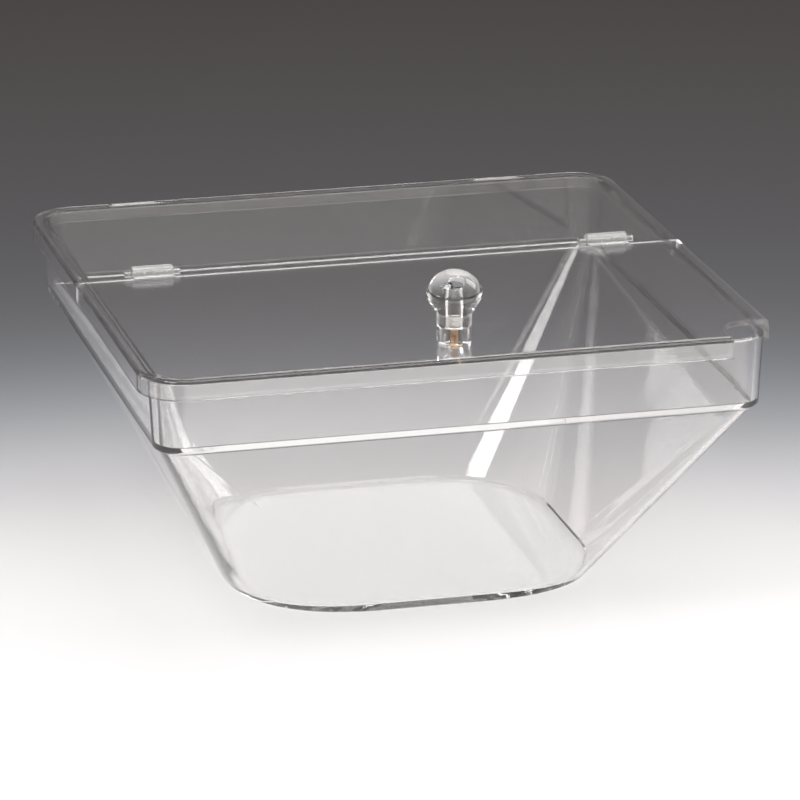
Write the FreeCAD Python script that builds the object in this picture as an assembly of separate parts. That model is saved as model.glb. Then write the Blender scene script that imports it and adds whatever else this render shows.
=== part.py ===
"""Clear square display bowl with a two-piece lid, in millimetres.

The origin is the centre of the base on the table. X runs to the right, Y to the back and Z up.
The bowl stands on its flat base. The lid is a fixed rear cover and a hinged front flap that lie
flush with each other on the rim. Both can be lifted off together.
"""
import FreeCAD
import Part
import math
import os
from FreeCAD import Vector

os.makedirs("parts", exist_ok=True)

# Bowl
BOWL_HEIGHT = 139.7
RIM_WIDTH = 295.0
RIM_DEPTH = 295.0
RIM_CORNER_RADIUS = 17.5
RIM_EDGE_CHAMFER = 0.6
BAND_HEIGHT = 35.6
BAND_DRAFT_DEG = 2.9
LEDGE_STEP = 2.5
LEDGE_ROUND = 2.2
BASE_WIDTH = 181.0
BASE_DEPTH = 181.0
BASE_CORNER_RADIUS = 60.0
BASE_EDGE_CHAMFER = 1.0
BOWL_WALL = 3.4
FLOOR_THICKNESS = 4.5
FLOOR_EDGE_CHAMFER = 1.0

# Lid plate and skirt, the same for the rear cover and the flap
PLATE_THICKNESS = 2.5
SKIRT_THICKNESS = 2.5
SKIRT_HEIGHT = 9.8
LID_EDGE_ROUND = 2.2
LID_REST_GAP = 0.3
LID_SIDE_GAP = 2.5

# Split between the flap and the rear cover
FLAP_EDGE_Y = 14.9
SPLIT_GAP = 0.7

# Hinges: a snap clip on the flap over a pin in the rear cover
HINGE_SPACING = 229.0
CLIP_LENGTH = 20.0
CLIP_RADIUS = 3.8
CLIP_LIP_LENGTH = 4.0
CLIP_LIP_THICKNESS = 1.1
CLIP_SNAP = 0.15
CLIP_END_GAP = 0.5
CLIP_SLOT_GAP = 0.5
PIN_DIAMETER = 2.6
PIN_RISE = 1.3
PIN_TURN_CLEARANCE = 0.05
PIN_GRIP_CLEARANCE = 0.02
EYE_LENGTH = 3.2
EYE_WALL = 0.8

# Locating pads inside the rear skirt
PAD_SPACING = 191.4
PAD_TOP_WIDTH = 29.5
PAD_BOTTOM_WIDTH = 22.8
PAD_END_MARGIN = 0.6
PAD_RIM_GAP = 0.3

# Utensil notch in the front right corner of the flap
NOTCH_WIDTH = 26.0
NOTCH_DEPTH = 27.0
NOTCH_RADIUS = 13.0

# Knob, measured upwards from its seat on the flap
KNOB_SETBACK = 31.0
KNOB_NECK_RADIUS = 8.3
KNOB_NECK_HEIGHT = 13.9
KNOB_COLLAR_RADIUS = 8.85
KNOB_BALL_RADIUS = 13.2
KNOB_BALL_HEIGHT = 23.2
KNOB_DOME_RISE = 10.9
KNOB_DOME_BANDS = 5
KNOB_FLANK_DROP = 3.2
KNOB_FLANK_RADIUS = 12.3
KNOB_RECESS_RADIUS = 6.15
KNOB_RECESS_DEPTH = 7.2
KNOB_BORE_DEPTH = 17.4

# Threaded bush in the knob and the screw from under the flap
BUSH_RADIUS = 3.1
BUSH_LENGTH = 7.6
BUSH_PRESS_CLEARANCE = 0.02
SCREW_DIAMETER = 4.0
SCREW_LENGTH = 16.0
SCREW_THREAD_CLEARANCE = 0.05
SCREW_HOLE_CLEARANCE = 0.25
SCREW_HEAD_RADIUS = 4.2
SCREW_HEAD_HEIGHT = 2.4
SCREW_DRIVE_SPAN = 5.0
SCREW_DRIVE_WIDTH = 1.0
SCREW_DRIVE_DEPTH = 1.3

# Thickness of the cement or the small play between pieces that are held together
BOND_FILM = 0.1
# Largest share of a wall, step or half width that a rounding may take
ROUND_LIMIT = 0.9
# Smallest rounding that an inner corner keeps
SMALLEST_ROUNDING = 1.0
# A leaning cone cut level is an ellipse. It reaches this much further along the sides than the circle it stands for
CONE_REACH = 1.1
# How far a cutting shape runs past what it cuts
CUT_MARGIN = 1.0
# Two positions closer than this are the same
SAME_PLACE = 1e-4

# Sizes that follow from the ones above
LID_TOP = BOWL_HEIGHT + LID_REST_GAP + PLATE_THICKNESS
PLATE_BOTTOM = LID_TOP - PLATE_THICKNESS
SKIRT_BOTTOM = LID_TOP - SKIRT_HEIGHT
LID_GROWTH = LID_SIDE_GAP + SKIRT_THICKNESS
LID_WIDTH = RIM_WIDTH + 2 * LID_GROWTH
LID_DEPTH = RIM_DEPTH + 2 * LID_GROWTH
LID_CORNER_RADIUS = RIM_CORNER_RADIUS + LID_GROWTH
COVER_EDGE_Y = FLAP_EDGE_Y + SPLIT_GAP
PIN_RADIUS = PIN_DIAMETER / 2
PIN_Y = FLAP_EDGE_Y + CLIP_RADIUS
PIN_Z = LID_TOP + PIN_RISE
EYE_RADIUS = PIN_RADIUS + EYE_WALL
SLOT_HALF = CLIP_LENGTH / 2 + CLIP_END_GAP
HINGE_XS = (-HINGE_SPACING / 2, HINGE_SPACING / 2)
KNOB_Y = KNOB_SETBACK - LID_DEPTH / 2
KNOB_SEAT = LID_TOP + BOND_FILM
SCREW_RADIUS = SCREW_DIAMETER / 2
LEDGE_Z = BOWL_HEIGHT - BAND_HEIGHT


def flat_face(points):
    """Plane face through points."""
    return Part.Face(Part.makePolygon(points + points[:1]))


def rounded_corner(low, high, side_x, side_y):
    """One rounded corner between two outlines, part of a round cone that runs tangent into both sides.

    Returns it with the points where it meets the two sides, a pair on each outline.
    """
    wide, narrow = (low, high) if low[2] > high[2] else (high, low)
    corner, other = [Vector(side_x * o[0] / 2, side_y * o[1] / 2, o[3]) for o in (wide, narrow)]
    apex = corner + (other - corner) * (wide[2] / (wide[2] - narrow[2]))
    edge = (corner - apex).normalize()
    touch = (corner - Vector(0, side_y * wide[2], 0) - apex).normalize()
    normals = []
    for level in (Vector(0, 1, 0), Vector(1, 0, 0)):
        normal = level.cross(edge).normalize()
        normals.append(normal * math.copysign(1, normal.x * side_x + normal.y * side_y))
    out = (normals[0] + normals[1]).normalize()
    spread = out.dot(normals[0])
    along = edge.dot(touch)
    lean = math.sqrt((1 - along ** 2) / (1 - (along * spread) ** 2))
    axis = edge * math.sqrt(1 - lean ** 2) - out * lean
    half_angle = math.asin(lean * spread)
    rails = [(axis + normal * math.sin(half_angle)).normalize() for normal in normals]
    ends = [[apex + rail * ((o[3] - apex.z) / rail.z) for rail in rails] for o in (low, high)]
    length = 2 * (corner - apex).Length
    cone = Part.makeCone(0, length * math.tan(half_angle), length, apex, axis)
    chord = flat_face(ends[0] + ends[1][::-1])
    return cone.common(chord.extrude(Vector(side_x, side_y, 0) * wide[2])), ends


def rounded_frustum(low, high):
    """Solid with plane sides and rounded corners between two outlines.

    An outline is a width, a depth, how far the rounding of a corner reaches along its sides, and a height.
    """
    rounds = []
    rings = ([], [])
    for side_x, side_y in ((1, -1), (1, 1), (-1, 1), (-1, -1)):
        piece, ends = rounded_corner(low, high, side_x, side_y)
        rounds.append(piece)
        for ring, pair in zip(rings, ends):
            ring.extend(pair if side_x == side_y else pair[::-1])
    bottom, top = rings
    count = len(bottom)
    faces = [flat_face(bottom[::-1]), flat_face(top)]
    for i in range(count):
        j = (i + 1) % count
        faces.append(flat_face([bottom[i], bottom[j], top[j], top[i]]))
    core = Part.makeSolid(Part.makeShell(faces))
    return core.fuse(rounds).removeSplitter()


def rounded_block(outline, top):
    """Upright block with rounded corners from an outline up to a height."""
    width, depth, radius, z = outline
    block = Part.makeBox(width, depth, top - z, Vector(-width / 2, -depth / 2, z))
    upright = [edge for edge in block.Edges if edge.BoundBox.ZLength > SAME_PLACE]
    return block.makeFillet(min(radius, width / 2 * ROUND_LIMIT, depth / 2 * ROUND_LIMIT), upright)


def inset(outline, distance):
    """The same rounded rectangle moved inwards by a distance, with its corners concentric."""
    width, depth, radius, z = outline
    return (width - 2 * distance, depth - 2 * distance, max(radius - distance, SMALLEST_ROUNDING), z)


def widened(outline):
    """The same rounded rectangle with its corners as the level cuts of leaning cones."""
    width, depth, radius, z = outline
    return (width, depth, radius * CONE_REACH, z)


def raised(outline, z):
    """The same rounded rectangle at another height."""
    return outline[:3] + (z,)


def edges_at_height(shape, z):
    """The edges that lie whole in the level plane at a height."""
    level = []
    for edge in shape.Edges:
        box = edge.BoundBox
        if abs(box.ZMin - z) < SAME_PLACE and abs(box.ZMax - z) < SAME_PLACE:
            level.append(edge)
    return level


def box_between(low, high):
    """Box from its low corner to its high corner."""
    size = [b - a for a, b in zip(low, high)]
    return Part.makeBox(size[0], size[1], size[2], Vector(*low))


def rod_along_x(radius, length, centre):
    """Cylinder along X about its centre."""
    start = Vector(centre[0] - length / 2, centre[1], centre[2])
    return Part.makeCylinder(radius, length, start, Vector(1, 0, 0))


def rod_upright(radius, length, z):
    """Cylinder upwards along the knob's axis, from a height."""
    return Part.makeCylinder(radius, length, Vector(0, KNOB_Y, z))


# Bowl outlines, from the rim down to the base
RIM = (RIM_WIDTH, RIM_DEPTH, RIM_CORNER_RADIUS, BOWL_HEIGHT)
BAND_FOOT = raised(inset(RIM, BAND_HEIGHT * math.tan(math.radians(BAND_DRAFT_DEG))), LEDGE_Z)
TAPER_TOP = widened(inset(BAND_FOOT, LEDGE_STEP))
BASE = widened((BASE_WIDTH, BASE_DEPTH, BASE_CORNER_RADIUS, 0.0))


def taper_outline(z):
    """Outer outline of the tapered body at a height, also past its top."""
    share = z / LEDGE_Z
    sizes = [low + (high - low) * share for low, high in zip(BASE[:3], TAPER_TOP[:3])]
    return (sizes[0], sizes[1], sizes[2], z)


def band_outline(z):
    """Outer outline of the rim band at a height."""
    return raised(inset(RIM, (BOWL_HEIGHT - z) * math.tan(math.radians(BAND_DRAFT_DEG))), z)


def make_bowl():
    """Tapered body on a round-cornered base, with an upright rim band that steps out over a ledge."""
    body = rounded_frustum(BASE, TAPER_TOP)
    body = body.makeChamfer(min(BASE_EDGE_CHAMFER, FLOOR_THICKNESS * ROUND_LIMIT), edges_at_height(body, 0))
    band = rounded_frustum(BAND_FOOT, RIM)
    band = band.makeFillet(min(LEDGE_ROUND, LEDGE_STEP * ROUND_LIMIT), edges_at_height(band, LEDGE_Z))
    outer = body.fuse(band).removeSplitter()

    lean = math.atan2((TAPER_TOP[0] - BASE[0]) / 2, LEDGE_Z)
    side_wall = BOWL_WALL / math.cos(lean)
    inner_ledge = LEDGE_Z + BOWL_WALL
    lower = rounded_frustum(
        inset(taper_outline(FLOOR_THICKNESS), side_wall), inset(taper_outline(inner_ledge), side_wall))
    lower = lower.makeChamfer(
        min(FLOOR_EDGE_CHAMFER, BOWL_WALL * ROUND_LIMIT), edges_at_height(lower, FLOOR_THICKNESS))
    upper = rounded_frustum(inset(band_outline(inner_ledge), BOWL_WALL), inset(RIM, BOWL_WALL))
    bowl = outer.cut(lower.fuse(upper))
    rim_chamfer = min(RIM_EDGE_CHAMFER, BOWL_WALL / 2 * ROUND_LIMIT)
    return bowl.makeChamfer(rim_chamfer, edges_at_height(bowl, BOWL_HEIGHT))


def make_lid_shell():
    """The whole lid before it is split: a flat plate with a skirt and a rounded outer edge."""
    outline = (LID_WIDTH, LID_DEPTH, LID_CORNER_RADIUS, SKIRT_BOTTOM)
    outer = rounded_block(outline, LID_TOP)
    edge_round = min(LID_EDGE_ROUND, PLATE_THICKNESS * ROUND_LIMIT, SKIRT_THICKNESS * ROUND_LIMIT)
    outer = outer.makeFillet(edge_round, edges_at_height(outer, LID_TOP))
    hollow = inset(outline, SKIRT_THICKNESS)
    return outer.cut(rounded_block(hollow, PLATE_BOTTOM))


def lid_part(y_low, y_high):
    """The stretch of the lid between two planes across it."""
    return make_lid_shell().common(box_between(
        (-LID_WIDTH, y_low, SKIRT_BOTTOM - CUT_MARGIN), (LID_WIDTH, y_high, LID_TOP + CUT_MARGIN)))


def make_pad(x):
    """Tapered locating pad on the inside of the rear skirt, just clear of the rim."""
    y_skirt = LID_DEPTH / 2 - SKIRT_THICKNESS
    z_end = SKIRT_BOTTOM + PAD_END_MARGIN
    corners = [
        Vector(x - PAD_TOP_WIDTH / 2, y_skirt, PLATE_BOTTOM),
        Vector(x + PAD_TOP_WIDTH / 2, y_skirt, PLATE_BOTTOM),
        Vector(x + PAD_BOTTOM_WIDTH / 2, y_skirt, z_end),
        Vector(x - PAD_BOTTOM_WIDTH / 2, y_skirt, z_end),
    ]
    return flat_face(corners).extrude(Vector(0, -(LID_SIDE_GAP - PAD_RIM_GAP), 0))


def make_eye(x):
    """Raised eye near the front edge of the rear cover that grips one end of a hinge pin."""
    eye = rod_along_x(EYE_RADIUS, EYE_LENGTH, (x, PIN_Y, PIN_Z))
    foot = box_between(
        (x - EYE_LENGTH / 2, PIN_Y - EYE_RADIUS, PLATE_BOTTOM),
        (x + EYE_LENGTH / 2, PIN_Y + EYE_RADIUS, PIN_Z))
    return eye.fuse(foot)


def make_rear_cover():
    """Fixed rear part of the lid, slotted for the hinge clips, with eyes for the pins and two pads."""
    cover = lid_part(COVER_EDGE_Y, LID_DEPTH)
    slot_end = PIN_Y + CLIP_RADIUS + CLIP_SLOT_GAP
    bore_length = 2 * (SLOT_HALF + EYE_LENGTH + CUT_MARGIN)
    for x in HINGE_XS:
        cover = cover.cut(box_between(
            (x - SLOT_HALF, COVER_EDGE_Y - CUT_MARGIN, PLATE_BOTTOM - CUT_MARGIN),
            (x + SLOT_HALF, slot_end, LID_TOP + CUT_MARGIN)))
        for side in (-1, 1):
            cover = cover.fuse(make_eye(x + side * (SLOT_HALF + EYE_LENGTH / 2)))
        cover = cover.cut(rod_along_x(PIN_RADIUS + PIN_GRIP_CLEARANCE, bore_length, (x, PIN_Y, PIN_Z)))
    for side in (-1, 1):
        cover = cover.fuse(make_pad(side * PAD_SPACING / 2))
    return cover.removeSplitter()


def make_notch():
    """Corner cut with one rounded inner corner, right through the plate and skirt."""
    x = LID_WIDTH / 2 - NOTCH_WIDTH
    y = NOTCH_DEPTH - LID_DEPTH / 2
    cut = box_between((x, -LID_DEPTH, SKIRT_BOTTOM - CUT_MARGIN), (LID_WIDTH, y, LID_TOP + CUT_MARGIN))
    inner = []
    for edge in cut.Edges:
        box = edge.BoundBox
        if abs(box.XMax - x) < SAME_PLACE and abs(box.YMin - y) < SAME_PLACE:
            inner.append(edge)
    return cut.makeFillet(min(NOTCH_RADIUS, NOTCH_WIDTH * ROUND_LIMIT, NOTCH_DEPTH * ROUND_LIMIT), inner)


def make_front_flap():
    """Hinged front part of the lid, with the utensil notch and the hole for the knob's screw."""
    flap = lid_part(-LID_DEPTH, FLAP_EDGE_Y)
    flap = flap.cut(make_notch())
    hole_radius = SCREW_RADIUS + SCREW_HOLE_CLEARANCE
    return flap.cut(rod_upright(hole_radius, PLATE_THICKNESS + 2 * CUT_MARGIN, PLATE_BOTTOM - CUT_MARGIN))


def make_hinge_clip(x):
    """Hook that arches over a hinge pin, open below, with a lip and a foot bonded to the flap's edge."""
    low = x - CLIP_LENGTH / 2
    high = x + CLIP_LENGTH / 2
    edge = FLAP_EDGE_Y + BOND_FILM
    seat = LID_TOP + BOND_FILM
    clip = rod_along_x(CLIP_RADIUS, CLIP_LENGTH, (x, PIN_Y, PIN_Z))
    clip = clip.fuse(box_between((low, edge, PLATE_BOTTOM), (high, PIN_Y, PIN_Z)))
    clip = clip.fuse(box_between(
        (low, FLAP_EDGE_Y - CLIP_LIP_LENGTH, seat), (high, PIN_Y, seat + CLIP_LIP_THICKNESS)))
    clip = clip.cut(box_between(
        (low - CUT_MARGIN, -LID_DEPTH, SKIRT_BOTTOM), (high + CUT_MARGIN, edge, seat)))
    bore_length = CLIP_LENGTH + 2 * CUT_MARGIN
    clip = clip.cut(rod_along_x(PIN_RADIUS + PIN_TURN_CLEARANCE, bore_length, (x, PIN_Y, PIN_Z)))
    mouth = PIN_RADIUS - CLIP_SNAP
    clip = clip.cut(box_between(
        (low - CUT_MARGIN, PIN_Y - mouth, SKIRT_BOTTOM), (high + CUT_MARGIN, PIN_Y + mouth, PIN_Z)))
    return clip.removeSplitter()


def make_hinge_pin(x):
    """Plain pin across the clip, flush with the outer faces of its two eyes."""
    return rod_along_x(PIN_RADIUS, 2 * (SLOT_HALF + EYE_LENGTH), (x, PIN_Y, PIN_Z))


def at_knob(radius, height):
    """Point at a radius from the knob's axis and a height over its seat."""
    return Vector(radius, KNOB_Y, KNOB_SEAT + height)


def knob_outline():
    """Corners of the knob's half outline: dome and flank in short bands, hollow neck and blind bore."""
    top = KNOB_BALL_HEIGHT + KNOB_DOME_RISE
    bore = BUSH_RADIUS + BUSH_PRESS_CLEARANCE
    bore_end = KNOB_RECESS_DEPTH + KNOB_BORE_DEPTH
    corners = []
    for band in range(KNOB_DOME_BANDS + 1):
        turn = math.pi / 2 * (1 - band / KNOB_DOME_BANDS)
        corners.append((KNOB_BALL_RADIUS * math.cos(turn), KNOB_BALL_HEIGHT + KNOB_DOME_RISE * math.sin(turn)))
    corners += [
        (KNOB_FLANK_RADIUS, KNOB_BALL_HEIGHT - KNOB_FLANK_DROP),
        (KNOB_COLLAR_RADIUS, KNOB_NECK_HEIGHT),
        (KNOB_NECK_RADIUS, KNOB_NECK_HEIGHT),
        (KNOB_NECK_RADIUS, 0),
        (KNOB_RECESS_RADIUS, 0),
        (KNOB_RECESS_RADIUS, KNOB_RECESS_DEPTH),
        (bore, KNOB_RECESS_DEPTH),
        (bore, bore_end),
        (0, bore_end),
    ]
    return [at_knob(radius, height) for radius, height in corners]


def make_knob():
    """Turned ball knob: flattened dome, drawn-in flank and a hollow neck."""
    return flat_face(knob_outline()).revolve(Vector(0, KNOB_Y, 0), Vector(0, 0, 1), 360)


def make_knob_insert():
    """Threaded bush pressed into the knob above the recess of the neck."""
    z = KNOB_SEAT + KNOB_RECESS_DEPTH
    bush = rod_upright(BUSH_RADIUS, BUSH_LENGTH, z)
    thread = SCREW_RADIUS + SCREW_THREAD_CLEARANCE
    return bush.cut(rod_upright(thread, BUSH_LENGTH + 2 * CUT_MARGIN, z - CUT_MARGIN))


def make_knob_screw():
    """Cheese-head screw from under the flap into the knob, with a crossed drive in its head."""
    head_top = PLATE_BOTTOM - BOND_FILM
    head_low = head_top - SCREW_HEAD_HEIGHT
    head = rod_upright(SCREW_HEAD_RADIUS, SCREW_HEAD_HEIGHT, head_low)
    reach = SCREW_DRIVE_SPAN / 2
    half = SCREW_DRIVE_WIDTH / 2
    for across, along in ((half, reach), (reach, half)):
        head = head.cut(box_between(
            (-across, KNOB_Y - along, head_low - CUT_MARGIN),
            (across, KNOB_Y + along, head_low + SCREW_DRIVE_DEPTH)))
    return head.fuse(rod_upright(SCREW_RADIUS, SCREW_LENGTH, head_top))


def main():
    """Write every piece to its own file."""
    left, right = HINGE_XS
    pieces = {
        "bowl": make_bowl(),
        "rear_cover": make_rear_cover(),
        "front_flap": make_front_flap(),
        "hinge_clip_left": make_hinge_clip(left),
        "hinge_clip_right": make_hinge_clip(right),
        "hinge_pin_left": make_hinge_pin(left),
        "hinge_pin_right": make_hinge_pin(right),
        "knob": make_knob(),
        "knob_insert": make_knob_insert(),
        "knob_screw": make_knob_screw(),
    }
    for name, shape in pieces.items():
        shape.exportStep("parts/" + name + ".step")
        print(name, "solids", len(shape.Solids), "valid", shape.isValid(), "volume", round(shape.Volume, 1))


main()
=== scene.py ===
"""Looks of the clear square display bowl: camera, stage, light and materials.

Metres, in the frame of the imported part. X runs to the right, Y to the back and Z up.
"""
import bmesh
import bpy
import math
from mathutils import Matrix, Vector


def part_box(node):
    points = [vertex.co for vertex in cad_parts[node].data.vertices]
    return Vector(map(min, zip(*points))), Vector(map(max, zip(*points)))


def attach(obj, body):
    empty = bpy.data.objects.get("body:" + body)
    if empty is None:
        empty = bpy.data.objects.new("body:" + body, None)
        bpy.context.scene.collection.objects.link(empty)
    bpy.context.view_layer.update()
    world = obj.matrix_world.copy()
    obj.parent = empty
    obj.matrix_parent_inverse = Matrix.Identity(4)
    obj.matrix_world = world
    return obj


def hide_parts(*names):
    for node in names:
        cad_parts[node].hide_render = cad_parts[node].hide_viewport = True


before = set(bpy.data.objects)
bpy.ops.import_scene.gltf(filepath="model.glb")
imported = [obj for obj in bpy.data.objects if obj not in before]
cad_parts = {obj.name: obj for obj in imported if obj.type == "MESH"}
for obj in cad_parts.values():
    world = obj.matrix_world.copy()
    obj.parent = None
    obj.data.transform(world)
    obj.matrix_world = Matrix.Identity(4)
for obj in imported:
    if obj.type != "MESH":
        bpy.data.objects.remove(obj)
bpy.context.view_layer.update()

# Camera, fitted to the straight edges of the object in the photograph
CAMERA_AZIMUTH_DEG = -14.215
CAMERA_ELEVATION_DEG = 17.74
CAMERA_ROLL_DEG = -0.131
CAMERA_DISTANCE = 2.57245
CAMERA_ASIDE = 0.0047
CAMERA_BELOW = -0.06363
CAMERA_TARGET_HEIGHT = 0.1425
CAMERA_NEAR = 0.05
CAMERA_FAR = 100.0
FOCAL_PIXELS = 5286.5
IMAGE_PIXELS = 800
SENSOR_WIDTH = 36.0

# Floor, just under the bowl's flat base
FLOOR_HALF_SIZE = 9.0
FLOOR_HEIGHT = -0.0002
# It is pale round the object and falls off to a dark grey behind it, a painted fall-off of the light. Its
# grey depends on the distance from a point in front of the object: a soft step and a slow fall beyond it
GRADIENT_CENTRE = (-0.22, -0.87)
STEP_DISTANCE = 1.041
STEP_SOFTNESS = 0.083
STEP_HEIGHT = 0.86
TAIL_DISTANCE = 1.2
TAIL_GREY = 0.12
TAIL_FALL = 0.65
DARKEST_GREY = 0.052
# Slight tints along that distance, as a share of their reach
FLOOR_TINTS = ((0.0, (1.0, 0.985, 0.965)), (0.46, (1.01, 0.98, 0.985)), (0.57, (0.97, 0.99, 1.06)),
               (0.75, (1.02, 0.965, 1.0)), (1.0, (1.08, 0.965, 0.94)))
TINT_REACH = 2.1
# Share of the floor's brightness that it shows whatever falls on it; the rest takes light and shadow
FLOOR_GLOW = 0.75
# Painted pool of caustic light on the table under the base, where the clear walls would gather light: a patch
# with the base's outline that is white and glows in full, so it takes no shadow
PAINTED_CAUSTIC_WHITE = (1.0, 1.0, 1.0)
PATCH_HALF_SIZE = 0.088
PATCH_SOFTNESS = 0.006
PATCH_POWER = 3.6
PAINTED_CAUSTIC_GLOW = 1.0

# World: the grey that shows, and the strength of the white light that falls on everything
WORLD_GREY = (0.071, 0.066, 0.067)
WORLD_LIGHT = 0.35
# White screens show at both sides. They begin and are full at these sines of the angle away from the upright
# plane through the camera's line of sight
SCREEN_SINES = (0.62, 0.9)
SCREEN_WHITE = (1.0, 0.96, 0.945)

# Lamps: name, place, target, width, height and watts
LAMP_LEFT = ("lamp_left", (-1.05, -0.68, 2.0), (0, 0, 0.1), 0.8, 0.75, 24.0)
LAMP_TOP = ("lamp_top", (0.3, -0.3, 1.6), (0.3, -0.3001, 0), 1.2, 1.3, 17.0)
LAMP_RIGHT = ("lamp_right", (1.3, 0.1, 1.1), (0, 0, 0.1), 0.6, 0.9, 9.0)

# Card on the table in front of the object: its edges in X and Y, and its brightness across and along
CARD_EDGES = (-0.3, 0.5, -0.9, -0.1)
CARD_HEIGHT = 0.0004
CARD_ACROSS = ((0.0, 0.0), (0.2, 1.0), (0.8, 1.0), (1.0, 0.0))
CARD_ALONG = ((0.0, 0.0), (0.3, 1.0), (0.6, 1.0), (0.85, 0.35), (1.0, 0.0))
CARD_RADIANCE = 1.65
CARD_WHITE = (1.0, 0.96, 0.945)
# Number of clear surfaces behind which it begins to dim, and behind which only this share of it is left
CARD_DEPTHS = (2.0, 3.0)
CARD_DEEP_SHARE = 0.1

# Bounces of light, enough for rays that pass through many clear walls
MAX_BOUNCES = 32
TRANSMISSION_BOUNCES = 28
GLOSSY_BOUNCES = 16

# Acrylics: tint, haze and scale of the flow waves
ACRYLICS = {
    "clear_bowl": ((0.996, 0.986, 0.982), 0.015, 14.0),
    "clear_lid": ((0.994, 0.98, 0.975), 0.02, 11.0),
    "clear_hinge": ((0.99, 0.985, 0.97), 0.22, 60.0),
    "clear_knob": ((0.99, 0.985, 0.98), 0.01, 40.0),
}
ACRYLIC_IOR = 1.49
WAVE_NOISE = {"Detail": 1.5, "Roughness": 0.4}
WAVE_BUMP = {"Strength": 0.06, "Distance": 0.002}
# Fine scratches: their noise, and its ranges over which they roughen the surface and make it hazy
SCRATCH_NOISE = {"Scale": 420.0, "Detail": 3.0, "Roughness": 0.7}
SCRATCH_ROUGH_RANGE = (0.45, 0.8)
SCRATCH_ROUGHNESS = (0.0, 0.03)
SCRATCH_HAZE_RANGE = (0.35, 0.75)
SCRATCH_HAZE_SHARES = (0.5, 1.5)
# Radius to which moulding and polishing round the sharp edges, and the samples that find it
BROKEN_EDGE = 0.0005
BROKEN_SAMPLES = 4
# Share of light that these edges scatter: all of it where the rounded surface turns away from the flat one
# by the first cosine, and none by the second
EDGE_HAZE = 0.15
EDGE_COSINES = (0.9, 0.999)

# Metals: colour, its darkest and lightest tone, roughness (one, or a range that follows the spots), scales of
# the spots and the turning rings, how far the rings waver, and the strength and depth of their relief
METALS = {
    "bush_nickel": ((0.88, 0.86, 0.82), (0.82, 1.05), (0.12, 0.34), 500.0, 600.0, 0.6, 0.25, 0.0001),
    "screw_brass": ((0.72, 0.53, 0.33), (0.75, 1.1), 0.28, 300.0, 420.0, 0.8, 0.4, 0.0002),
}
SPOT_DETAIL = 4.0
RING_DETAIL = 2.0

# Turned pieces at the knob, in millimetres. Outlines are radii and heights above the piece's foot
MM = 0.001
# Edges that turn by more than this stay sharp
SHARP_DEG = 28
KNOB_SEGMENTS = 160
# The knob's cap and shoulder are arcs: how far out and how high their centre is, and their radius
KNOB_CAP = (0.0, 20.3, 13.8)
KNOB_SHOULDER = (6.7, 23.2, 6.5)
CAP_START_DEG = 89.0
SHOULDER_TOP_DEG = 23.4
SHOULDER_END_DEG = -29.9
CAP_STEPS = 40
SHOULDER_STEPS = 36
KNOB_NECK = ((8.95, 14.1), (8.87, 13.9), (8.72, 13.75), (8.45, 13.68), (8.3, 13.5), (8.3, 0.35), (8.2, 0.1),
             (7.95, 0))
KNOB_HOLLOW = ((6.35, 0), (6.2, 0.05), (6.15, 0.2), (6.15, 6.95), (6.1, 7.13), (5.9, 7.2))
KNOB_BORE = ((3.35, 7.2), (3.12, 7.4), (3.12, 24.6), (0, 26.4))
BUSH_OUTLINE = ((2.05, 0.25), (2.25, 0), (2.85, 0), (2.98, 0.1), (3.1, 0.35), (3.1, 3.1), (2.8, 3.3),
                (2.8, 4.3), (3.1, 4.5), (3.1, 7.25), (2.98, 7.5), (2.85, 7.6), (2.25, 7.6), (2.05, 7.35))
# The bush has teeth wherever its outline is wider than this radius
BUSH_TOOTHED_RADIUS = 3.09
BUSH_TEETH = 40
BUSH_SEGMENTS_PER_TOOTH = 8
BUSH_TOOTH_DEPTH = 0.16
BUSH_TOOTH_SLOPE = 1.6
SCREW_SEGMENTS = 64
SCREW_HEAD = ((0, 0), (2.9, 0.0), (3.55, 0.12), (3.95, 0.4), (4.15, 0.85), (4.2, 1.3), (4.2, 2.2), (4.1, 2.4),
              (2.0, 2.4))
SCREW_HEAD_HEIGHT = 2.4
SCREW_RADIUS = 2.0
SCREW_LENGTH = 16.0
SCREW_TIP = 0.6
SCREW_TIP_TAPER = 0.75
THREAD_PITCH = 0.7
THREAD_DEPTH = 0.43
THREAD_STEPS = 14
THREAD_SLOPE = 1.5
THREAD_CREST = 0.25
THREAD_START = 0.3
THREAD_RUN_OUT = 0.7
# Crossed drive: the outline of its cutter, and for both its ends the height, and what its reach and its
# blade's width are multiplied by
CROSS_OUTLINE = ((2.5, 0.5), (0.5, 0.5), (0.5, 2.5), (-0.5, 2.5), (-0.5, 0.5), (-2.5, 0.5),
                 (-2.5, -0.5), (-0.5, -0.5), (-0.5, -2.5), (0.5, -2.5), (0.5, -0.5), (2.5, -0.5))
CROSS_ENDS = ((-0.5, 1.12, 1.1), (1.3, 0.6, 0.75))


def node(tree, kind, inputs=None, **settings):
    """Adds one shader node, with its settings and the values or links of its inputs."""
    made = tree.nodes.new(kind)
    for key, value in settings.items():
        setattr(made, key, value)
    for key, value in (inputs or {}).items():
        if isinstance(value, bpy.types.NodeSocket):
            tree.links.new(value, made.inputs[key])
        else:
            made.inputs[key].default_value = value
    return made


def maths(tree, operation, *values):
    """The result of a Math node."""
    return node(tree, "ShaderNodeMath", dict(enumerate(values)), operation=operation).outputs[0]


def scaled(tree, vector, factor):
    """A vector or a colour times a number."""
    return node(tree, "ShaderNodeVectorMath", {0: vector, 3: factor}, operation="SCALE").outputs[0]


def dot(tree, first, second):
    """The dot product of two vectors."""
    return node(tree, "ShaderNodeVectorMath", {0: first, 1: second}, operation="DOT_PRODUCT").outputs["Value"]


def mixed(tree, share, first, second):
    """A mix of two colours."""
    return node(tree, "ShaderNodeMix", {0: share, 4: first, 5: second}, data_type="VECTOR").outputs[1]


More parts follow.
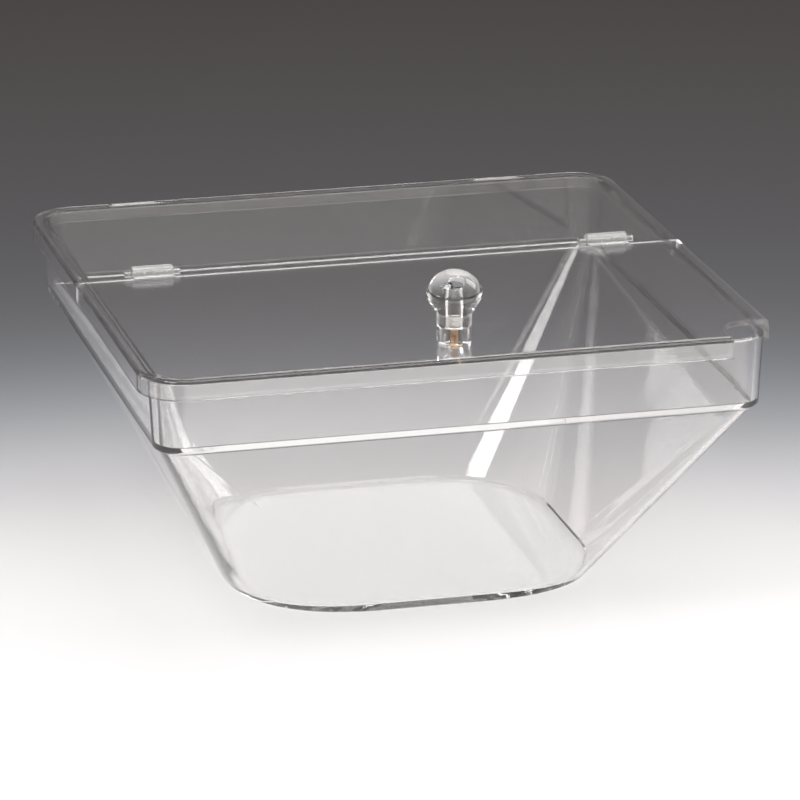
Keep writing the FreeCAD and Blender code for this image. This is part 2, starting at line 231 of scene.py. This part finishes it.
def ranged(tree, value, source, result, curve="LINEAR"):
    """A value taken from one range to another, and held at its ends."""
    return node(tree, "ShaderNodeMapRange", {
        "Value": value, "From Min": source[0], "From Max": source[1],
        "To Min": result[0], "To Max": result[1]}, interpolation_type=curve).outputs[0]


def ramp(tree, value, stops, curve="LINEAR"):
    """Colours along a value, through stops that are each a place from 0 to 1 and a colour."""
    made = node(tree, "ShaderNodeValToRGB", {"Fac": value})
    made.color_ramp.interpolation = curve
    while len(made.color_ramp.elements) < len(stops):
        made.color_ramp.elements.new(0.5)
    for element, (place, colour) in zip(made.color_ramp.elements, stops):
        element.position = place
        element.color = (*colour, 1)
    return made.outputs["Color"]


def grey_ramp(tree, value, stops):
    """A soft curve of greys through stops that are each a place from 0 to 1 and a grey."""
    return ramp(tree, value, [(place, (grey, grey, grey)) for place, grey in stops], "EASE")


def noise(tree, inputs):
    """The value of a Noise Texture node."""
    return node(tree, "ShaderNodeTexNoise", inputs).outputs["Fac"]


def new_material(name):
    """An empty node material and its tree."""
    material = bpy.data.materials.new(name)
    material.use_nodes = True
    material.node_tree.nodes.clear()
    return material, material.node_tree


def finish_material(tree, shader):
    """Sends a shader to the material's output."""
    node(tree, "ShaderNodeOutputMaterial", {"Surface": shader})


def add_object(name, data):
    """A new object in the scene."""
    made = bpy.data.objects.new(name, data)
    bpy.context.scene.collection.objects.link(made)
    return made


def place_camera():
    """The camera stands where the photograph was taken from."""
    azimuth = math.radians(CAMERA_AZIMUTH_DEG)
    elevation = math.radians(CAMERA_ELEVATION_DEG)
    roll = math.radians(CAMERA_ROLL_DEG)
    back = Vector((
        math.sin(azimuth) * math.cos(elevation),
        -math.cos(azimuth) * math.cos(elevation),
        math.sin(elevation)))
    level = Vector((math.cos(azimuth), math.sin(azimuth), 0))
    above = back.cross(level)
    right = level * math.cos(roll) + above * math.sin(roll)
    up = above * math.cos(roll) - level * math.sin(roll)
    place = right * CAMERA_ASIDE + up * CAMERA_BELOW + back * CAMERA_DISTANCE
    place.z += CAMERA_TARGET_HEIGHT
    data = bpy.data.cameras.new("camera")
    data.sensor_width = SENSOR_WIDTH
    data.lens = FOCAL_PIXELS / IMAGE_PIXELS * SENSOR_WIDTH
    data.clip_start = CAMERA_NEAR
    data.clip_end = CAMERA_FAR
    camera = add_object("camera", data)
    turn = Matrix((right, up, back)).transposed().to_4x4()
    camera.matrix_world = Matrix.Translation(place) @ turn
    bpy.context.scene.camera = camera


def seen_share(tree):
    """One for what is seen, also in a reflection or through the clear pieces, and zero for what lights."""
    path = node(tree, "ShaderNodeLightPath").outputs
    seen = maths(tree, "MAXIMUM", path["Is Camera Ray"], path["Is Glossy Ray"])
    seen = maths(tree, "MAXIMUM", seen, path["Is Transmission Ray"])
    first = maths(tree, "LESS_THAN", path["Diffuse Depth"], 0.5)
    return maths(tree, "MULTIPLY", seen, first)


def floor_grey(tree, away):
    """Grey of the floor, a painted fall-off of light, at a distance from the centre of its gradient."""
    step = maths(tree, "SUBTRACT", away, STEP_DISTANCE)
    step = maths(tree, "DIVIDE", step, STEP_SOFTNESS)
    step = maths(tree, "EXPONENT", step)
    step = maths(tree, "ADD", step, 1.0)
    step = maths(tree, "DIVIDE", STEP_HEIGHT, step)
    tail = maths(tree, "SUBTRACT", away, TAIL_DISTANCE)
    tail = maths(tree, "MULTIPLY", tail, -TAIL_FALL)
    tail = maths(tree, "EXPONENT", tail)
    grey = maths(tree, "MULTIPLY_ADD", tail, TAIL_GREY, step)
    grey = maths(tree, "MAXIMUM", grey, DARKEST_GREY)
    return maths(tree, "MINIMUM", grey, 1.0)


def painted_caustic_patch(tree, where):
    """Painted pool of caustic light: one under the bowl's base and zero round it, inside a soft rounded
    square.
    """
    apart = node(tree, "ShaderNodeVectorMath", {0: where}, operation="ABSOLUTE").outputs[0]
    apart = scaled(tree, apart, 1 / PATCH_HALF_SIZE)
    apart = node(tree, "ShaderNodeSeparateXYZ", {0: apart}).outputs
    across = maths(tree, "POWER", apart["X"], PATCH_POWER)
    along = maths(tree, "POWER", apart["Y"], PATCH_POWER)
    size = maths(tree, "POWER", maths(tree, "ADD", across, along), 1 / PATCH_POWER)
    soft = PATCH_SOFTNESS / PATCH_HALF_SIZE
    return ranged(tree, size, (1 - soft, 1 + soft), (1.0, 0.0), "SMOOTHSTEP")


def make_floor():
    """Level floor, pale round the object and dark grey further back in a painted fall-off of light, with a
    painted pool of light under the base.
    """
    mesh = bpy.data.meshes.new("floor")
    s = FLOOR_HALF_SIZE
    mesh.from_pydata([(-s, -s, 0), (s, -s, 0), (s, s, 0), (-s, s, 0)], [], [(0, 1, 2, 3)])
    floor = add_object("floor", mesh)
    floor.location.z = FLOOR_HEIGHT
    material, tree = new_material("floor")
    where = node(tree, "ShaderNodeNewGeometry").outputs["Position"]
    away = node(tree, "ShaderNodeVectorMath", {0: where, 1: (*GRADIENT_CENTRE, 0)}, operation="DISTANCE")
    away = away.outputs["Value"]
    grey = floor_grey(tree, away)
    tint = ramp(tree, maths(tree, "DIVIDE", away, TINT_REACH), FLOOR_TINTS)
    # Painted pool of caustic light: white, under the bowl's base
    patch = painted_caustic_patch(tree, where)
    colour = mixed(tree, patch, scaled(tree, tint, grey), PAINTED_CAUSTIC_WHITE)
    # A part of the colour glows for what sees it, and the rest is matt; the painted pool of light under the
    # base glows in full and takes no shadow
    share = ranged(tree, patch, (0.0, 1.0), (FLOOR_GLOW, PAINTED_CAUSTIC_GLOW))
    glow = maths(tree, "MULTIPLY", seen_share(tree), share)
    glow = node(tree, "ShaderNodeEmission", {"Color": colour, "Strength": glow})
    matt = scaled(tree, colour, maths(tree, "SUBTRACT", 1.0, share))
    matt = node(tree, "ShaderNodeBsdfDiffuse", {"Color": matt})
    both = node(tree, "ShaderNodeAddShader", {0: glow.outputs[0], 1: matt.outputs[0]})
    finish_material(tree, both.outputs[0])
    mesh.materials.append(material)


def make_world():
    """White light from all round; what is seen is a dark grey room with a white screen at each side."""
    world = bpy.data.worlds.new("room")
    bpy.context.scene.world = world
    world.use_nodes = True
    tree = world.node_tree
    tree.nodes.clear()
    light = node(tree, "ShaderNodeBackground", {"Color": (1, 1, 1, 1), "Strength": WORLD_LIGHT})
    azimuth = math.radians(CAMERA_AZIMUTH_DEG)
    towards = node(tree, "ShaderNodeTexCoord").outputs["Generated"]
    aside = maths(tree, "ABSOLUTE", dot(tree, towards, (math.cos(azimuth), math.sin(azimuth), 0)))
    screen = ranged(tree, aside, SCREEN_SINES, (0.0, 1.0), "SMOOTHSTEP")
    colour = mixed(tree, screen, WORLD_GREY, SCREEN_WHITE)
    room = node(tree, "ShaderNodeBackground", {"Color": colour, "Strength": 1.0})
    both = node(tree, "ShaderNodeMixShader", {0: seen_share(tree), 1: light.outputs[0], 2: room.outputs[0]})
    node(tree, "ShaderNodeOutputWorld", {"Surface": both.outputs[0]})


def area_light(name, width, height, power):
    """Data of a rectangular lamp, with its power in watts."""
    data = bpy.data.lights.new(name, "AREA")
    data.shape = "RECTANGLE"
    data.size = width
    data.size_y = height
    data.energy = power
    return data


def make_lamp(name, place, target, width, height, power):
    """Soft rectangular lamp that faces a point."""
    lamp = add_object(name, area_light(name, width, height, power))
    lamp.location = place
    lamp.rotation_mode = "QUATERNION"
    lamp.rotation_quaternion = (Vector(target) - Vector(place)).to_track_quat("-Z", "Y")


def make_card():
    """White card that lies on the table in front of the object, hidden from the camera, with soft edges."""
    low_x, high_x, low_y, high_y = CARD_EDGES
    width = high_x - low_x
    depth = high_y - low_y
    data = area_light("card", width, depth, CARD_RADIANCE * math.pi * width * depth)
    data.use_nodes = True
    tree = data.node_tree
    tree.nodes.clear()
    place = node(tree, "ShaderNodeNewGeometry").outputs["Parametric"]
    place = node(tree, "ShaderNodeSeparateXYZ", {0: place}).outputs
    across = grey_ramp(tree, place["X"], CARD_ACROSS)
    along = grey_ramp(tree, place["Y"], CARD_ALONG)
    strength = maths(tree, "MULTIPLY", across, along)
    # It shows less through several walls
    walls = node(tree, "ShaderNodeLightPath").outputs["Transmission Depth"]
    strength = maths(tree, "MULTIPLY", strength, ranged(tree, walls, CARD_DEPTHS, (1.0, CARD_DEEP_SHARE)))
    glow = node(tree, "ShaderNodeEmission", {"Color": (*CARD_WHITE, 1), "Strength": strength})
    node(tree, "ShaderNodeOutputLight", {"Surface": glow.outputs[0]})
    card = add_object("card", data)
    card.location = ((low_x + high_x) / 2, (low_y + high_y) / 2, CARD_HEIGHT)
    card.rotation_euler = (math.pi, 0, 0)
    card.visible_camera = False


def acrylic(name):
    """Clear polished acrylic with faint flow waves, fine scratches, a breath of haze and broken edges."""
    tint, haze, wave_scale = ACRYLICS[name]
    material, tree = new_material(name)
    where = node(tree, "ShaderNodeTexCoord").outputs["Object"]
    waves = noise(tree, {"Vector": where, "Scale": wave_scale, **WAVE_NOISE})
    scratches = noise(tree, {"Vector": where, **SCRATCH_NOISE})
    rough = ranged(tree, scratches, SCRATCH_ROUGH_RANGE, SCRATCH_ROUGHNESS)
    clear = ranged(tree, scratches, SCRATCH_HAZE_RANGE, [1.0 - haze * share for share in SCRATCH_HAZE_SHARES])
    broken = node(tree, "ShaderNodeBevel", {"Radius": BROKEN_EDGE}, samples=BROKEN_SAMPLES).outputs[0]
    level = dot(tree, broken, node(tree, "ShaderNodeNewGeometry").outputs["Normal"])
    edge = ranged(tree, level, EDGE_COSINES, (1.0 - EDGE_HAZE, 1.0))
    clear = maths(tree, "MULTIPLY", clear, edge)
    bump = node(tree, "ShaderNodeBump", {"Height": waves, "Normal": broken, **WAVE_BUMP})
    shader = node(tree, "ShaderNodeBsdfPrincipled", {
        "Base Color": (*tint, 1), "Roughness": rough, "IOR": ACRYLIC_IOR, "Transmission Weight": clear,
        "Normal": bump.outputs[0]})
    finish_material(tree, shader.outputs[0])
    return material


def metal(name):
    """Turned metal with fine rings round the upright axis and a few duller spots."""
    colour, tones, rough, spot_scale, ring_scale, waver, strength, depth = METALS[name]
    material, tree = new_material(name)
    where = node(tree, "ShaderNodeTexCoord").outputs["Object"]
    spots = noise(tree, {"Vector": where, "Scale": spot_scale, "Detail": SPOT_DETAIL})
    tone = ranged(tree, spots, (0.0, 1.0), tones)
    if isinstance(rough, tuple):
        rough = ranged(tree, spots, (0.0, 1.0), rough)
    rings = node(tree, "ShaderNodeTexWave", {
        "Vector": where, "Scale": ring_scale, "Distortion": waver, "Detail": RING_DETAIL},
        wave_type="BANDS", bands_direction="Z").outputs["Fac"]
    bump = node(tree, "ShaderNodeBump", {"Height": rings, "Strength": strength, "Distance": depth})
    shader = node(tree, "ShaderNodeBsdfPrincipled", {
        "Base Color": scaled(tree, colour, tone), "Metallic": 1.0, "Roughness": rough,
        "Normal": bump.outputs[0]})
    finish_material(tree, shader.outputs[0])
    return material


def arc(circle, start, end, steps):
    """Points along an arc, as radius and height, between two angles in degrees."""
    middle, height, radius = circle
    points = []
    for i in range(steps + 1):
        turn = math.radians(start + (end - start) * i / steps)
        points.append((middle + radius * math.cos(turn), height + radius * math.sin(turn)))
    return points


def knob_axis():
    """Where the knob's upright axis stands, in X and Y."""
    low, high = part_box("knob")
    return (low[0] + high[0]) / 2, (low[1] + high[1]) / 2


def smooth(data):
    """Smooth shading that keeps the sharp edges sharp."""
    data.shade_smooth()
    data.set_sharp_from_angle(angle=math.radians(SHARP_DEG))


def finish_mesh(name, mesh):
    """Turns a bmesh with closed faces into an object."""
    bmesh.ops.recalc_face_normals(mesh, faces=mesh.faces)
    data = bpy.data.meshes.new(name)
    mesh.to_mesh(data)
    mesh.free()
    return add_object(name, data)


def turned(name, outline, seat, segments, shape=None):
    """Closed turned mesh round the knob's axis, from an outline of radii and heights in millimetres.

    An outline that starts and ends on the axis gets a tip at each end, and any other is a closed ring. The
    shape, if there is one, gives the radius at each angle.
    """
    x, y = knob_axis()
    mesh = bmesh.new()
    rows = []
    for radius, height in outline:
        z = seat + height * MM
        if radius == 0:
            rows.append([mesh.verts.new((x, y, z))] * segments)
            continue
        row = []
        for i in range(segments):
            turn = 2 * math.pi * i / segments
            r = (shape(radius, height, turn) if shape else radius) * MM
            row.append(mesh.verts.new((x + r * math.cos(turn), y + r * math.sin(turn), z)))
        rows.append(row)
    if outline[0][0] > 0:
        rows.append(rows[0])
    for lower, upper in zip(rows, rows[1:]):
        for i in range(segments):
            j = (i + 1) % segments
            corners = []
            for vertex in (lower[i], lower[j], upper[j], upper[i]):
                if vertex not in corners:
                    corners.append(vertex)
            mesh.faces.new(corners)
    piece = finish_mesh(name, mesh)
    smooth(piece.data)
    return piece


def place_piece(piece, material, node_name):
    """A piece takes the place of a CAD node on the flap."""
    piece.data.materials.append(material)
    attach(piece, "flap_body")
    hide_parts(node_name)


def make_knob(material):
    """Smooth ball knob with a hollow neck and a drilled bore."""
    outline = [(0, KNOB_CAP[1] + KNOB_CAP[2])]
    outline += arc(KNOB_CAP, CAP_START_DEG, SHOULDER_TOP_DEG, CAP_STEPS)
    outline += arc(KNOB_SHOULDER, SHOULDER_TOP_DEG, SHOULDER_END_DEG, SHOULDER_STEPS)[1:]
    outline += [*KNOB_NECK, *KNOB_HOLLOW, *KNOB_BORE]
    knob = turned("knob_turned", outline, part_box("knob")[0][2], KNOB_SEGMENTS)
    place_piece(knob, material, "knob")


def bush_shape(radius, height, turn):
    """Teeth all round the two wide bands, and a plain groove between them."""
    if radius < BUSH_TOOTHED_RADIUS:
        return radius
    tooth = abs((turn / (2 * math.pi) * BUSH_TEETH) % 1.0 * 2 - 1)
    return radius - BUSH_TOOTH_DEPTH * min(1.0, tooth * BUSH_TOOTH_SLOPE)


def make_bush(material):
    """Knurled bush, pressed into the knob's bore."""
    segments = BUSH_TEETH * BUSH_SEGMENTS_PER_TOOTH
    bush = turned("bush_knurled", BUSH_OUTLINE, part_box("knob_insert")[0][2], segments, bush_shape)
    place_piece(bush, material, "knob_insert")


def thread_shape(radius, height, turn):
    """A rolled thread along the shank, with flat crests and roots, that fades in above the head."""
    above = height - SCREW_HEAD_HEIGHT
    if above <= THREAD_START or radius > SCREW_RADIUS:
        return radius
    wave = abs((above / THREAD_PITCH - turn / (2 * math.pi)) % 1.0 * 2 - 1)
    groove = min(1.0, max(0.0, wave * THREAD_SLOPE - THREAD_CREST))
    fade = min(1.0, (above - THREAD_START) / THREAD_RUN_OUT)
    return radius - THREAD_DEPTH * groove * fade * min(1.0, radius / SCREW_RADIUS)


def make_screw(material):
    """Machine screw with a low rounded head, a crossed drive and a real thread."""
    outline = list(SCREW_HEAD)
    steps = round(SCREW_LENGTH / THREAD_PITCH * THREAD_STEPS)
    for i in range(1, steps + 1):
        above = SCREW_LENGTH * i / steps
        tip = max(0.0, above - SCREW_LENGTH + SCREW_TIP)
        outline.append((SCREW_RADIUS - tip * SCREW_TIP_TAPER, SCREW_HEAD_HEIGHT + above))
    outline.append((0, SCREW_HEAD_HEIGHT + SCREW_LENGTH))
    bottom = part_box("knob_screw")[0][2]
    screw = turned("screw_threaded", outline, bottom, SCREW_SEGMENTS, thread_shape)
    cut_cross(screw, bottom)
    place_piece(screw, material, "knob_screw")


def cut_cross(screw, bottom):
    """Cuts a tapered cross into the underside of the screw's head."""
    x, y = knob_axis()
    mesh = bmesh.new()
    rows = []
    for height, reach, blade in CROSS_ENDS:
        row = []
        for a, b in CROSS_OUTLINE:
            a *= reach if abs(a) > 1 else blade
            b *= reach if abs(b) > 1 else blade
            row.append(mesh.verts.new((x + a * MM, y + b * MM, bottom + height * MM)))
        rows.append(row)
    mesh.faces.new(rows[0])
    mesh.faces.new(rows[1][::-1])
    for i in range(len(CROSS_OUTLINE)):
        j = (i + 1) % len(CROSS_OUTLINE)
        mesh.faces.new((rows[0][i], rows[0][j], rows[1][j], rows[1][i]))
    cutter = finish_mesh("cross", mesh)
    cut = screw.modifiers.new("cross", "BOOLEAN")
    cut.operation = "DIFFERENCE"
    cut.solver = "EXACT"
    cut.object = cutter
    bpy.context.view_layer.update()
    graph = bpy.context.evaluated_depsgraph_get()
    result = bpy.data.meshes.new_from_object(screw.evaluated_get(graph))
    screw.modifiers.clear()
    screw.data = result
    result.name = screw.name
    smooth(result)
    bpy.data.objects.remove(cutter)


def dress(material, *nodes):
    """Gives a material to CAD nodes."""
    for name in nodes:
        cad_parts[name].data.materials[0] = material


place_camera()
make_floor()
make_world()
make_lamp(*LAMP_LEFT)
make_lamp(*LAMP_TOP)
make_card()
make_lamp(*LAMP_RIGHT)

dress(acrylic("clear_bowl"), "bowl")
dress(acrylic("clear_lid"), "rear_cover", "front_flap")
dress(acrylic("clear_hinge"), "hinge_clip_left", "hinge_clip_right", "hinge_pin_left", "hinge_pin_right")
make_knob(acrylic("clear_knob"))
make_bush(metal("bush_nickel"))
make_screw(metal("screw_brass"))

scene = bpy.context.scene
scene.view_settings.view_transform = "Standard"
scene.cycles.max_bounces = MAX_BOUNCES
scene.cycles.transmission_bounces = TRANSMISSION_BOUNCES
scene.cycles.glossy_bounces = GLOSSY_BOUNCES
